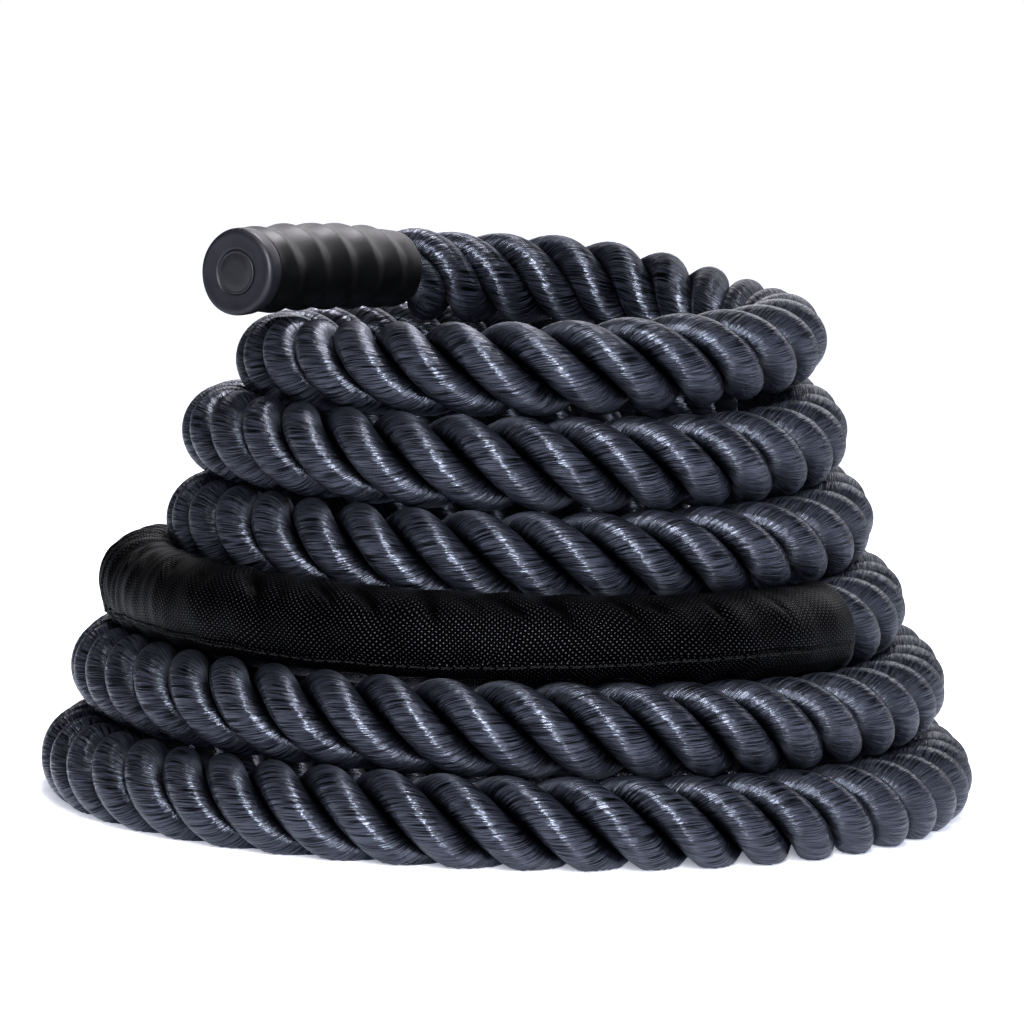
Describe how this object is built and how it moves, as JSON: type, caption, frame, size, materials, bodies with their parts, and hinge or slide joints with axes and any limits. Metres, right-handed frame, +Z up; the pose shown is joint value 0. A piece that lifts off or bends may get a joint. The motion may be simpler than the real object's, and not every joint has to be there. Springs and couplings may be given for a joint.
{
  "type": "battle rope",
  "caption": "Thick laid training rope resting in a cone-shaped coil, with ribbed rubber grips on its ends and a stitched fabric sleeve round its middle.",
  "frame": {"origin": "on the ground under the middle of the coiled rope's bounding box", "axes": "+Z up along the cone of the coil; -Y towards the front, where the picture was taken; the top grip points to -X and a little to -Y"},
  "size_m": [0.5243, 0.5368, 0.3235],
  "materials": {
    "rope_fibre": "black polyester fibre with a blue-grey sheen",
    "sleeve_fabric": "matt black plain-woven fabric",
    "seam_fabric": "matt black folded and stitched fabric",
    "grip_rubber": "satin black heat-shrunk rubber",
    "cap_rubber": "satin black moulded rubber",
    "badge_face": "blank charcoal disc"
  },
  "bodies": {
    "root": {"rope": "rope_fibre", "sleeve_panel": "sleeve_fabric", "sleeve_seam_strip": "seam_fabric", "grip_top": "grip_rubber", "grip_inner": "grip_rubber", "end_cap_top": "cap_rubber", "end_cap_inner": "cap_rubber", "badge_top": "badge_face", "badge_inner": "badge_face"}
  },
  "joints": []
}
